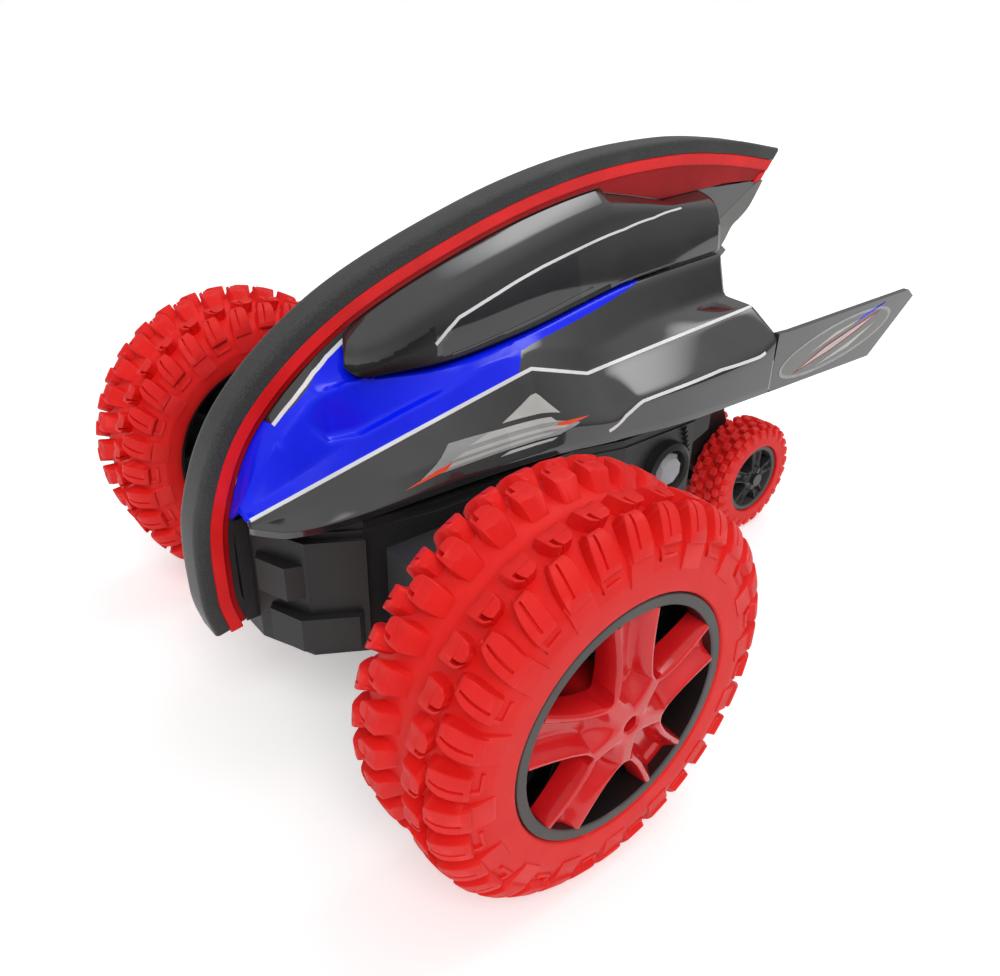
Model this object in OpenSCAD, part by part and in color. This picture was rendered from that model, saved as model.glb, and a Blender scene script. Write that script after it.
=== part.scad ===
// Remote control stunt car: two large driven wheels, a tall central fin with a foam
// edge, a low chassis and twin free-rolling tail wheels.
// The front is towards -Y, the car's left is +X, and the floor is z = 0.
// Side outlines are lists of [y, z], measured along the car from the big wheels' axle.

/* [Whole car] */
// Reach of the fin in front of the big axle
front_reach = 66.5; // [66:0.5:68]
// Reach of the side wings behind the big axle
rear_reach = 247; // [244:0.5:250]

/* [Big wheels] */
// Radius of the big tyres
wheel_r = 60; // [58:0.5:62]
// Distance between the big tyres' outer faces
track_outer = 244; // [242:1:248]
// Width of a big tyre
tyre_w = 45.8; // [44:0.2:46]
// Radius of the tyre's outer bead
bead_r = 37.5; // [36:0.5:39]
// Reach of the domed hub beyond the tyre's outer face
hub_dome = 1.6; // [1:0.2:2]
// Number of spokes in a big wheel
spoke_count = 5; // [4:1:6]

/* [Tail wheels] */
// Distance of the tail axle behind the big axle
tail_y = 193.5; // [190:0.5:196]
// Radius of the tail tyres
tail_r = 26.7; // [25:0.1:28]
// Width of a tail tyre
tail_w = 18.7; // [17:0.1:19]
// Half of the gap between the tail tyres
tail_gap = 7.3; // [7.2:0.1:8]

/* [Fin] */
// Thickness of the foam edge strip, side to side
foam_w = 12; // [11:0.5:13]
// Depth of the foam strip, measured into the fin
foam_d = 4.8; // [4:0.1:5.5]
// Depth of the red rail under the foam
rail_d = 6; // [5:0.5:6.5]

/* [Body] */
// Wall of the moulded shells
wall = 1.8; // [1.5:0.1:2]
// Underside of the chassis above the floor
chassis_z = 40; // [38:1:41]
// Top of the chassis tub
deck_z = 84; // [83:0.5:85]

/* [Drive] */
// Radius of the big axles
axle_r = 2.5; // [2.4:0.1:2.6]
// Travel of the power switch knob
switch_travel = 4; // [3:0.5:5]

/* [Hidden] */
$fn = 64;
axle_y = (front_reach - rear_reach) / 2; // the car's box is centred on the origin
wheel_x = track_outer / 2 - tyre_w / 2;
gear_m = 1;               // module of all gears
wheel_teeth = 30;         // tooth counts, which mesh only as a set
pinion_teeth = 10;        // motor pinion and the idler's small gear
idler_teeth = 26;         // the idler's large gear
gap = 0.3;                // space between neighbouring parts
fit = 0.05;               // running fit of shafts, on the radius
side_x = 5.3;             // inner edge of each half shell, beside the spine
spine_w = 10;
rail_w = 11.6;
idler_y = gear_m * (wheel_teeth + pinion_teeth) / 2;
motor_y = idler_y + gear_m * (idler_teeth + pinion_teeth) / 2;
pressure = 25;            // pressure angle of the gears
lash = 0.16;              // tooth thinning at the pitch circle
shell_end = 150;          // rear edge of the shells
lamp_y = 102;
lamp_z = 69;
spoke_turn = 16;          // angle of the first spoke above the +Y direction
deck_post_x = [-30, 30];  // posts under the deck, each with a screw
deck_post_y = [-16, 92];
shell_post_x = [-18, 18]; // posts that carry the shells, each with a screw
shell_post_y = [-4, 36, 108];
board_x = [-26, 26];      // posts under the circuit board
board_y = [62, 82];
board_z = 68;             // underside of the circuit board

// Outer edge of the fin, from its foot over the top to the tail
fin_knots = [
    [2.5 - front_reach, 45], [-front_reach, 60], [-64, 90], [-48.5, 120], [-14, 146],
    [38, 165], [85, 175], [130, 177.6], [165, 175], [197, 169.5]];
// Underside of the red rail behind the canopy
rail_tail = [[113, 160.6], [128, 157.6], [165, 159.3], [188, 158.2]];

// Guide lines of the half shell: [y, value] pairs
skirt_x = [[-54, 20.5], [-45, 30], [-30, 34], [13, 38], [49, 41], [74, 45.5], [110, 50], [150, 51]];
skirt_z = [[-54, 87], [-30, 87.6], [0, 89], [30, 90], [150, 90]];
crease_x = [[-54, 19.5], [46, 28.4], [70, 30.4], [150, 37]];
crease_z = [[-54, 91], [0, 105.5], [46, 117.8], [70, 110.8], [150, 121]];
flank_x = [[-54, 20.2], [0, 33], [46, 38], [70, 45], [110, 49.6], [150, 50.6]];
flank_z = [[-54, 89.8], [0, 98], [46, 100], [70, 98], [82, 103], [140, 107], [150, 112]];
base_x = [[-54, 12], [-12, 13], [17, 17], [48, 19], [105, 20], [150, 19.4]];
base_z = [[-54, 91.5], [-40, 108], [-24, 120], [-12, 122.4], [17, 121], [48, 124.5], [105, 134.4], [150, 137]];
shelf_x = [[-54, 16], [46, 24], [80, 26.5], [105, 26], [150, 24]];
shelf_z = [[-54, 91.3], [0, 113], [46, 121.6], [80, 118], [105, 121.5], [150, 121.8]];

// Guide lines of the canopy
cap_base_x = [[-9, 9.5], [-6, 13], [-2, 15], [17, 17], [48, 19], [105, 19.5], [150, 18.6]];
cap_base_z = [[-9, 126], [-6, 124], [-2, 122.8], [17, 122], [48, 125.5], [105, 135.4], [150, 138]];
cap_edge_x = [[-9, 8.5], [-6, 12], [3, 15], [23, 15.5], [53, 15], [111, 13], [150, 15.5]];
cap_edge_z = [[-9, 129], [-6, 129], [3, 131], [23, 138], [53, 147], [111, 155], [150, 152]];
cap_start = -9;
cap_stations = [cap_start, -6, -2, 3, 10, 17, 23, 33, 42, 48, 53, 65, 80, 95, 105, 111, 128, 140, 150];
shell_stations = [
    -54, -50, -45, -40, -35, -30, -24, -18, -12, -9.8, -9.2, -4, 2, 9, 17, 27, 38, 46, 54, 62, 70, 76, 82,
    94, 105, 118, 130, 140, 150];

// ---- helpers ----

function reverse(list) = [for (i = [len(list) - 1:-1:0]) list[i]];

// Point at t between b and c on the smooth curve through a, b, c, d
function smooth_at(a, b, c, d, t) =
    0.5 * (2 * b + (c - a) * t + (2 * a - 5 * b + 4 * c - d) * t * t
        + (3 * b - a - 3 * c + d) * t * t * t);

// Smooth curve through all points, with n steps in each stretch
function smooth(p, n) = [
    for (i = [0:len(p) - 2], k = [0:n - 1])
        smooth_at(p[max(i - 1, 0)], p[i], p[i + 1], p[min(i + 2, len(p) - 1)], k / n),
    p[len(p) - 1]];

// Curve moved to its right-hand side by d
function moved(p, d) = [
    for (i = [0:len(p) - 1])
        let (step = p[min(i + 1, len(p) - 1)] - p[max(i - 1, 0)])
            p[i] + d * [step[1], -step[0]] / norm(step)];

fin_edge = smooth(fin_knots, 5);
rail_front = [for (p = moved(fin_edge, foam_d + rail_d)) if (p[0] < 98) p];
rail_under = concat(rail_front, rail_tail);
crest = [for (p = rail_under) if (p[1] > 64) p];

module on_side(side) {
    if (side > 0) children();
    else mirror([1, 0, 0]) children();
}

// Places things in the car's frame from the big axle's frame
module at_axle() {
    translate([0, axle_y, 0]) children();
}

// A plate with the side outline p, centred on x
module side_plate(p, x, w) {
    translate([x - w / 2, 0, 0]) rotate([90, 0, 90]) linear_extrude(w) polygon(p);
}

// A cylinder along X from x0 to x1
module rod_x(y, z, r, x0, x1) {
    translate([x0, y, z]) rotate([0, 90, 0]) cylinder(h = x1 - x0, r = r);
}

// A solid turned about an axle along X: the outline holds [radius, x]
module turned(y, z, outline) {
    translate([0, y, z]) rotate([0, 90, 0]) rotate_extrude($fn = 96) polygon(outline);
}

// A block between two corners
module block(a, b) {
    translate(a) cube(b - a);
}

// Joins equal rings of points into one closed solid
module loft(rings) {
    n = len(rings[0]);
    m = len(rings);
    sides = [
        for (i = [0:m - 2], k = [0:n - 1])
            let (a = i * n + k, b = i * n + (k + 1) % n)
                each [[a, b, a + n], [b, b + n, a + n]]];
    caps = [[for (k = [n - 1:-1:0]) k], [for (k = [0:n - 1]) (m - 1) * n + k]];
    polyhedron(points = [for (r = rings) each r], faces = concat(sides, caps), convexity = 6);
}

// A wall section at y: outer points, then the same points moved inwards
function wall_ring(y, outer, inward) =
    [for (p = concat(outer, reverse([for (i = [0:len(outer) - 1]) outer[i] - wall * inward[i]])))
        [p[0], y, p[1]]];

// ---- gears ----

function involute(a) = tan(a) * 180 / PI - a;

function tooth_half(r, n) =
    let (pitch = gear_m * n / 2, base = pitch * cos(pressure))
        90 / n - lash / 2 / pitch * 180 / PI + involute(pressure)
            - (r > base ? involute(acos(base / r)) : 0);

function gear_outline(n) =
    let (pitch = gear_m * n / 2, root = pitch - gear_m, tip = pitch + 0.72 * gear_m)
        [for (i = [0:n - 1], side = [-1, 1], k = [0:3])
            let (r = root + (tip - root) * (side < 0 ? k : 3 - k) / 3,
                a = i * 360 / n + side * tooth_half(r, n))
                r * [cos(a), sin(a)]];

// A gear about an axle along X, with its first tooth turned by phase
module gear(y, n, phase, bore, x0, x1) {
    translate([x0, y, wheel_r]) rotate([90, 0, 90]) linear_extrude(x1 - x0) {
        difference() {
            rotate(phase) polygon(gear_outline(n));
            circle(r = bore);
        }
    }
}

// ---- body ----

module half_shell(side) {
    inward = [[0, 1], [0.2, 1], [0.4, 0.9], [0.7, 0.8], [0.9, 0.4], [1, 0.2], [1, 0]];
    rings = [
        for (y = shell_stations)
            let (low = lookup(y, skirt_z),
                outer = [
                    [side_x, y < cap_start - gap ? lookup(y, crest) - gap : lookup(y, base_z) + 0.6],
                    [lookup(y, base_x), lookup(y, base_z)],
                    [lookup(y, shelf_x), lookup(y, shelf_z)],
                    [lookup(y, crease_x), lookup(y, crease_z)],
                    [lookup(y, flank_x), lookup(y, flank_z)],
                    [lookup(y, skirt_x), low + 2.4],
                    [lookup(y, skirt_x) - 0.3, low]])
                wall_ring(y, outer, inward)];
    color("royalblue") at_axle() on_side(side) loft(rings);
}

module canopy(side) {
    inward = [[0, 1], [0.6, 0.9], [1, 0.4], [1, 0]];
    rings = [
        for (y = cap_stations)
            let (top = lookup(y, crest) - gap,
                edge = [lookup(y, cap_edge_x), lookup(y, cap_edge_z)],
                crown = ([side_x, top] + edge) / 2 + [1.2, 1.2])
                wall_ring(y, [
                    [side_x, top], crown, edge,
                    [lookup(y, cap_base_x), lookup(y, cap_base_z) + gap]], inward)];
    color("dimgray") at_axle() on_side(side) loft(rings);
}

module wing(side) {
    plate = [[shell_end + gap, 90], [220, 89.2], [rear_reach, 110.5], [242, 114], [158, 113],
        [shell_end + gap, 113.4]];
    color("black") at_axle() on_side(side) {
        side_plate(plate, 49.6, 2.4);
        block([46, 136, 92], [48.3, 164, 104]);
    }
}

module body_spine() {
    tail = [[188, 158], [182, 149], [172, 142], [166, 134], [149, 124]];
    edge = [for (p = crest) if (p[1] > 88) p];
    color("gray") at_axle()
        side_plate(concat(edge, tail, [[149, 92], [-48, 92]]), 0, spine_w);
}

module fin_rail() {
    color("red") at_axle()
        side_plate(concat(moved(fin_edge, foam_d), reverse(rail_under)), 0, rail_w);
}

module foam_strip() {
    color("black") at_axle()
        side_plate(concat(fin_edge, reverse(moved(fin_edge, foam_d))), 0, foam_w);
}

// ---- chassis ----

tub_plan = [[8, -45.5], [25.5, -37.5], [33.5, -24], [38, 0], [38, 60], [43, 80], [43, 118], [30, 130]];
function both_halves(p) = concat(p, reverse([for (q = p) [-q[0], q[1]]]));
function shrunk(p, d) = [for (q = p) [q[0] - d, q[1] + (q[1] > 50 ? -d : d)]];

module chassis_tub() {
    color("dimgray") at_axle() difference() {
        translate([0, 0, chassis_z]) linear_extrude(deck_z - chassis_z)
            polygon(both_halves(tub_plan));
        translate([0, 0, chassis_z + 2.2]) linear_extrude(deck_z)
            polygon(both_halves(shrunk(tub_plan, 2.4)));
        // battery bay, switch hole, shaft ways and lamp seats
        block([-20.3, 52.7, 0], [20.3, 119.3, chassis_z + 9]);
        block([-7.3, 28.7, 0], [7.3, 41.3, chassis_z + 9]);
        for (side = [-1, 1]) {
            rod_x(motor_y, wheel_r, 6.5, side * 38 - 6, side * 38 + 6);
            rod_x(0, wheel_r, 6, side * 36 - 6, side * 36 + 6);
            rod_x(lamp_y, lamp_z, 7.6, side * 42 - 6, side * 42 + 6);
        }
    }
    // screw posts, outside the battery bay
    color("dimgray") at_axle() for (x = deck_post_x, y = deck_post_y)
        translate([x, y, chassis_z + 2.2]) difference() {
            cylinder(h = deck_z - chassis_z - 2.2, r = 4);
            translate([0, 0, 1]) cylinder(h = 80, r = 1.3);
        }
    // board posts
    color("dimgray") at_axle() for (x = board_x, y = board_y)
        translate([x, y, chassis_z + 2.2]) cylinder(h = board_z - chassis_z - 2.2, r = 2);
}

module chassis_deck() {
    color("gray") at_axle() {
        difference() {
            translate([0, 0, deck_z + 0.02]) linear_extrude(2.8)
                polygon(both_halves(shrunk(tub_plan, 0.6)));
            for (x = deck_post_x, y = deck_post_y)
                translate([x, y, deck_z - 1]) cylinder(h = 8, r = 1.7);
        }
        // posts that carry the half shells
        for (x = shell_post_x, y = shell_post_y)
            translate([x, y, deck_z + 2.8]) difference() {
                cylinder(h = 11, r = 3.5);
                translate([0, 0, 1]) cylinder(h = 20, r = 1.2);
            }
    }
}

module front_bumper() {
    face = [[0, -49], [8, -49], [27, -40.6], [36, -24.6], [34.2, -24.6], [25.7, -38.1], [8, -46], [0, -46]];
    upper = [[9, -48], [13, -50.5], [24, -46.5], [26, -41], [22, -41.5]];
    lower = [[13, -46.5], [16, -49], [28, -44.5], [37, -29], [35.5, -26.5], [26, -40.5]];
    color("black") at_axle() for (side = [-1, 1]) on_side(side) {
        translate([0, 0, chassis_z]) linear_extrude(42) polygon(face);
        translate([0, 0, 62]) linear_extrude(12) polygon(upper);
        translate([0, 0, 44]) linear_extrude(12) polygon(lower);
        block([2, -52.8, 46], [5, -48.5, 84]);
    }
}

module tail_strut() {
    boom = [[131, 42], [131, 82], [150, 80], [186, 62], [200, 34], [200, 22], [187, 20],
        [170, 34], [150, 40]];
    color("black") at_axle() difference() {
        union() {
            side_plate(boom, 0, 12);
            block([-24, 130.3, 42], [24, 133.5, 80]);
            for (x = [-18, 18]) side_plate([[133.5, 50], [133.5, 78], [160, 72], [160, 60]], x, 3);
            block([-19.5, 157, 60], [19.5, 160, 72]);
        }
        rod_x(tail_y, tail_r, 2, -20, 20);
    }
}

module battery_pack() {
    color("green") at_axle() for (x = [-12.5, 0, 12.5])
        translate([x, 56, chassis_z + 11]) rotate([-90, 0, 0]) cylinder(h = 60, r = 6.2);
}

module battery_cover() {
    color("black") at_axle() {
        block([-20, 53, chassis_z], [20, 119, chassis_z + 2.2]);
        block([-6, 117, chassis_z + 2.2], [6, 119, chassis_z + 6]);
    }
}

module circuit_board() {
    color("green") at_axle() {
        top = board_z + 1.6;
        block([-30, 58, board_z], [30, 86, top]);
        block([-8, 66, top], [4, 74, top + 1.6]);
        block([10, 64, top], [18, 80, top + 5.4]);
        for (x = [-20, -14]) translate([x, 80, top]) cylinder(h = 9, r = 2.6);
    }
}

module power_switch() {
    color("silver") at_axle() difference() {
        block([-7, 29, chassis_z + 0.6], [7, 41, chassis_z + 8]);
        block([-2.3, 31, 0], [2.3, 39.4, chassis_z + 5.2]);
    }
}

module switch_knob() {
    color("white") at_axle()
        block([-2, 31.3, chassis_z + 0.3], [2, 39 - switch_travel, chassis_z + 5]);
}

module lamp_bezel(side) {
    color("black") at_axle() on_side(side) {
        turned(lamp_y, lamp_z, [[7.3, 43.3], [11.4, 43.3], [11, 46.4], [9.4, 47.4], [8.3, 46.4], [7.3, 44]]);
    }
}

module lamp_lens(side) {
    color("white") at_axle() on_side(side) {
        turned(lamp_y, lamp_z, [[0, 38], [6.9, 38], [6.9, 44.2], [6.2, 46], [4, 47.2], [0, 47.8]]);
    }
}

// ---- drive ----

module motor(side) {
    color("silver") at_axle() on_side(side) {
        rod_x(motor_y, wheel_r, 12, 8, 34);
        rod_x(motor_y, wheel_r, 4, 34, 37);
        rod_x(motor_y, wheel_r, 2.2, 5, 8);
    }
}

module pinion(side) {
    color("gold") at_axle() on_side(side) {
        gear(motor_y, pinion_teeth, 180 / pinion_teeth + 180, 0.01, 49, 54.6);
        rod_x(motor_y, wheel_r, 1, 37.4, 49);
    }
}

module gearbox(side) {
    color("black") at_axle() on_side(side) difference() {
        block([43.4, -22, chassis_z], [66, 56, 82]);
        block([46, -19.4, chassis_z + 2.6], [70, 53.4, 79.4]);
        rod_x(motor_y, wheel_r, 2, 40, 50);
        rod_x(idler_y, wheel_r, 1.5 + 0.02, 40, 50);
        rod_x(0, wheel_r, axle_r + 0.3, 40, 50);
    }
    color("black") at_axle() on_side(side) {
        block([38.4, -14, 50], [43.4, -8, 70]);
        block([38.4, 8, 50], [43.4, 14, 70]);
    }
}

module gearbox_cover(side) {
    color("dimgray") at_axle() on_side(side) difference() {
        union() {
            block([66.02, -22, chassis_z], [68.4, 56, 82]);
            rod_x(0, wheel_r, 8, 68, 72);
            rod_x(idler_y, wheel_r, 4, 68, 70);
        }
        rod_x(0, wheel_r, 4.52, 60, 80);
        rod_x(idler_y, wheel_r, 1.52, 60, 69);
    }
}

module bush(side) {
    color("goldenrod") at_axle() on_side(side) difference() {
        rod_x(0, wheel_r, 4.5, 66.1, 73);
        rod_x(0, wheel_r, axle_r + fit, 60, 80);
    }
}

module idler_pin(side) {
    color("silver") at_axle() on_side(side) rod_x(idler_y, wheel_r, 1.5, 43.5, 68.9);
}

module idler_gear(side) {
    color("ivory") at_axle() on_side(side) {
        gear(idler_y, idler_teeth, 0, 1.5 + fit, 50, 54);
        gear(idler_y, pinion_teeth, 180 + 180 / pinion_teeth, 1.5 + fit, 54, 65);
    }
}

module wheel_gear(side) {
    color("ivory") at_axle() on_side(side) gear(0, wheel_teeth, 0, axle_r + 0.02, 58, 64);
}

module big_axle(side) {
    color("silver") at_axle() on_side(side) {
        rod_x(0, wheel_r, axle_r, 45.4, 112);
    }
}

// ---- big wheels ----

outer_x = track_outer / 2;
inner_x = outer_x - tyre_w;

module rim(side) {
    profile = [
        [0, 88], [10, 88], [10, 97], [bead_r - 3, 97], [bead_r - 3, inner_x + 2],
        [bead_r + 2.5, inner_x + 2], [bead_r + 2.5, inner_x + 3.4], [bead_r - 0.6, inner_x + 5],
        [bead_r - 0.6, outer_x - 4], [bead_r - 0.6, outer_x - 0.7], [bead_r - 4.2, outer_x - 1.5],
        [bead_r - 4.2, 100], [9, 100], [9, 104], [0, 104]];
    color("dimgray") at_axle() on_side(side) difference() {
        turned(0, wheel_r, profile);
        rod_x(0, wheel_r, axle_r + 0.02, 80, 120);
    }
}

module spokes(side) {
    arm = [[7, -5], [13, -7.6], [20, -6.8], [32, -7.8], [32, 7.8], [20, 6.8], [13, 7.6], [7, 5]];
    dome = [[0, 104.1], [12, 104.1], [14, outer_x - 1.2], [6, outer_x + hub_dome], [0, outer_x + hub_dome]];
    color("red") at_axle() on_side(side) difference() {
        union() {
            turned(0, wheel_r, dome);
            translate([108, 0, wheel_r]) for (i = [0:spoke_count - 1])
                rotate([spoke_turn + i * 360 / spoke_count, 0, 0]) rotate([90, 0, 90])
                    linear_extrude(outer_x - 1.4 - 108) polygon(arm);
        }
        rod_x(0, wheel_r, axle_r + 0.02, 80, 112.1);
        rod_x(0, wheel_r, 2.3, 112, 130);
    }
}

module tyre(side) {
    mid = wheel_x;
    half = tyre_w / 2;
    profile = [
        [bead_r, mid + half - 2], [bead_r + 3.2, mid + half], [bead_r + 11, mid + half - 0.6],
        [wheel_r - 4, mid + half - 3.4], [wheel_r - 0.6, mid + half - 9.6], [wheel_r, mid + 9],
        [wheel_r - 4.5, mid], [wheel_r, mid - 9], [wheel_r - 0.6, mid - half + 9.6],
        [wheel_r - 4, mid - half + 3.4], [bead_r + 11, mid - half + 0.6],
        [bead_r + 6, mid - half], [bead_r + 3.2, mid - half + 2.6], [bead_r + 3.2, mid - half + 4],
        [bead_r, mid - half + 6], [bead_r, mid - half + 10], [bead_r + 9, mid - half + 5.5],
        [wheel_r - 8.5, mid - half + 8], [wheel_r - 9, mid], [wheel_r - 8.5, mid + half - 8],
        [bead_r + 9, mid + half - 5.5], [bead_r, mid + half - 9]];
    color("tomato") at_axle() on_side(side) turned(0, wheel_r, profile);
}

module hub_screw(side) {
    color("silver") at_axle() on_side(side) {
        rod_x(0, wheel_r, 2.2, 113, 115);
        rod_x(0, wheel_r, 1.3, 112.1, 113);
    }
}

// ---- tail wheels ----

module tail_axle() {
    color("silver") at_axle() {
        rod_x(tail_y, tail_r, 1.9, -6.4, 6.4);
        for (side = [-1, 1]) on_side(side) {
            rod_x(tail_y, tail_r, 1.5, 6.4, 26.6);
            rod_x(tail_y, tail_r, 3, 25.4, 27);
        }
    }
}

module tail_rim(side) {
    profile = [
        [1.55, 7.6], [5, 7.6], [5, 14], [14.6, 14], [14.6, 9], [17.4, 9], [17.4, 10],
        [16.2, 11], [16.2, 24.6], [13.8, 24.6], [13.8, 18], [5, 18], [5, 25], [1.55, 25]];
    color("dimgray") at_axle() on_side(side) turned(tail_y, tail_r, profile);
}

module tail_tyre(side) {
    x0 = tail_gap;
    x1 = tail_gap + tail_w;
    profile = [
        [16.3, x0 + 4], [17.7, x0 + 3.2], [17.7, x0 + 1], [21, x0], [tail_r - 2.4, x0 + 1.2], [tail_r, x0 + 4.6],
        [tail_r, x1 - 4.6], [tail_r - 2.4, x1 - 1.2], [21, x1], [17, x1 - 0.3], [16.3, x1 - 1.4]];
    color("tomato") at_axle() on_side(side) turned(tail_y, tail_r, profile);
}

// ---- fasteners ----

module body_screws() {
    color("silver") at_axle() for (x = shell_post_x, y = shell_post_y)
        translate([x, y, deck_z + 14.1]) {
            translate([0, 0, 0.1]) cylinder(h = 1.4, r = 2.2);
            translate([0, 0, -7]) cylinder(h = 7.1, r = 1.1);
        }
}

module deck_screws() {
    color("silver") at_axle() for (x = deck_post_x, y = deck_post_y)
        translate([x, y, deck_z + 3.1]) {
            cylinder(h = 1.4, r = 2.4);
            translate([0, 0, -9]) cylinder(h = 9, r = 1.2);
        }
}

chassis_tub();
chassis_deck();
front_bumper();
tail_strut();
body_spine();
half_shell(1);  // left_shell
half_shell(-1);  // right_shell
canopy(1);  // left_canopy
canopy(-1);  // right_canopy
wing(1);  // left_wing
wing(-1);  // right_wing
fin_rail();
foam_strip();
battery_pack();
battery_cover();
circuit_board();
power_switch();
switch_knob();
lamp_bezel(1);  // left_lamp_bezel
lamp_bezel(-1);  // right_lamp_bezel
lamp_lens(1);  // left_lamp_lens
lamp_lens(-1);  // right_lamp_lens
motor(1);  // left_motor
motor(-1);  // right_motor
pinion(1);  // left_pinion
pinion(-1);  // right_pinion
gearbox(1);  // left_gearbox
gearbox(-1);  // right_gearbox
gearbox_cover(1);  // left_gearbox_cover
gearbox_cover(-1);  // right_gearbox_cover
bush(1);  // left_bush
bush(-1);  // right_bush
idler_pin(1);  // left_idler_pin
idler_pin(-1);  // right_idler_pin
idler_gear(1);  // left_idler_gear
idler_gear(-1);  // right_idler_gear
wheel_gear(1);  // left_wheel_gear
wheel_gear(-1);  // right_wheel_gear
big_axle(1);  // left_axle
big_axle(-1);  // right_axle
rim(1);  // left_rim
rim(-1);  // right_rim
spokes(1);  // left_spokes
spokes(-1);  // right_spokes
tyre(1);  // left_tyre
tyre(-1);  // right_tyre
hub_screw(1);  // left_hub_screw
hub_screw(-1);  // right_hub_screw
tail_axle();
tail_rim(1);  // left_tail_rim
tail_rim(-1);  // right_tail_rim
tail_tyre(1);  // left_tail_tyre
tail_tyre(-1);  // right_tail_tyre
body_screws();
deck_screws();
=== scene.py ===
"""Looks of the stunt car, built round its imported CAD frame."""

import math
from functools import lru_cache

import bmesh
import bpy
import numpy as np
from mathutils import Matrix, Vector


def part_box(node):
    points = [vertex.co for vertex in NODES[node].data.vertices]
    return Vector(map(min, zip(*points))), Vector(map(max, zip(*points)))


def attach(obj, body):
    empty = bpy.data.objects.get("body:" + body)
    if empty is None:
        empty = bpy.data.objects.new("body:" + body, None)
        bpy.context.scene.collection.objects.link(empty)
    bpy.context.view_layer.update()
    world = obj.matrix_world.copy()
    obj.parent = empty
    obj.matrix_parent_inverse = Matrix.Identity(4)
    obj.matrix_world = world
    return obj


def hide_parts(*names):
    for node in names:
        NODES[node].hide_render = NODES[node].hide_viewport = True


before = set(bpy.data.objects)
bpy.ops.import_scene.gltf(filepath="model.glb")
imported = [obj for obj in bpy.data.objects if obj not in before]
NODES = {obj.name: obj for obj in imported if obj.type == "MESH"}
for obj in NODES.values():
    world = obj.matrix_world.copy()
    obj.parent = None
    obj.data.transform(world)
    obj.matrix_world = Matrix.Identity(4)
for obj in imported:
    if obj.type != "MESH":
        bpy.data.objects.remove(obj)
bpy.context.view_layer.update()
MM = 0.001
SIDES = ("left", "right")
WALL = 1.6  # thickness of the body shell, in mm

# ---- frame values, in mm


def span(node):
    """Lowest and highest corner of a CAD node, in mm."""
    lo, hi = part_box(node)
    return np.array(lo) / MM, np.array(hi) / MM


TYRE_LO, TYRE_HI = span("left_tyre")
WHEEL_R = (TYRE_HI[2] - TYRE_LO[2]) / 2
AXLE_Y = (TYRE_LO[1] + TYRE_HI[1]) / 2
WHEEL_X = (TYRE_LO[0] + TYRE_HI[0]) / 2
WHEEL_HALF = (TYRE_HI[0] - TYRE_LO[0]) / 2
TAIL_LO, TAIL_HI = span("left_tail_tyre")
TAIL_R = (TAIL_HI[2] - TAIL_LO[2]) / 2
TAIL_Y = (TAIL_LO[1] + TAIL_HI[1]) / 2 - AXLE_Y
TAIL_X = (TAIL_LO[0] + TAIL_HI[0]) / 2
TAIL_HALF = (TAIL_HI[0] - TAIL_LO[0]) / 2

# ---- small maths


def smooth_curve(points):
    """A smooth function of y through (y, value) pairs, which never overshoots them."""
    xs, ys = np.array(points, float).T
    h = np.diff(xs)
    d = np.diff(ys) / h
    m = np.zeros(len(xs))
    m[0], m[-1] = d[0], d[-1]
    for i in range(1, len(xs) - 1):
        if d[i - 1] * d[i] > 0:
            m[i] = 2 * d[i - 1] * d[i] / (d[i - 1] + d[i])

    def value(x):
        x = min(max(x, xs[0]), xs[-1])
        i = min(int(np.searchsorted(xs, x, side="right")) - 1, len(h) - 1)
        t = (x - xs[i]) / h[i]
        a, b = 2 * t**3 - 3 * t**2 + 1, t**3 - 2 * t**2 + t
        c, e = -2 * t**3 + 3 * t**2, t**3 - t**2
        return a * ys[i] + b * h[i] * m[i] + c * ys[i + 1] + e * h[i] * m[i + 1]

    return value


def straight_curve(points):
    """A function of y that runs straight between (y, value) pairs."""
    xs, ys = np.array(points, float).T
    return lambda x: float(np.interp(x, xs, ys))


def spline(points, per_span):
    """Points on a smooth curve through all the given points."""
    p = [np.array(q, float) for q in points]
    out = []
    for i in range(len(p) - 1):
        a, b, c, d = p[max(i - 1, 0)], p[i], p[i + 1], p[min(i + 2, len(p) - 1)]
        for k in range(per_span):
            t = k / per_span
            out.append(
                0.5 * (2 * b + (c - a) * t + (2 * a - 5 * b + 4 * c - d) * t**2
                       + (3 * b - a - 3 * c + d) * t**3)
            )
    out.append(p[-1])
    return np.array(out)


def smooth_step(a, b, x):
    t = min(max((x - a) / (b - a), 0.0), 1.0)
    return t * t * (3 - 2 * t)


# ---- meshes


def new_object(name, data):
    obj = bpy.data.objects.new(name, data)
    bpy.context.scene.collection.objects.link(obj)
    return obj


def add_mesh(name, pile, material, body="chassis", angle=35.0, indices=None):
    """A mesh piece from a pile in mm, measured along the car from the big axle.
    A name that starts with right_ mirrors it. indices, if given, holds each face's material number."""
    pts = np.array(pile.points, float)
    pts[:, 1] += AXLE_Y
    faces = pile.faces
    if name.startswith("right_"):
        pts[:, 0] *= -1
        faces = [tuple(reversed(f)) for f in faces]
    mesh = bpy.data.meshes.new(name)
    mesh.from_pydata((pts * MM).tolist(), [], faces)
    for m in material if isinstance(material, list) else [material]:
        mesh.materials.append(m)
    if indices is not None:
        mesh.polygons.foreach_set("material_index", indices)
    mesh.update()
    obj = new_object(name, mesh)
    clean(obj, angle)
    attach(obj, body)
    return obj


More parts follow.
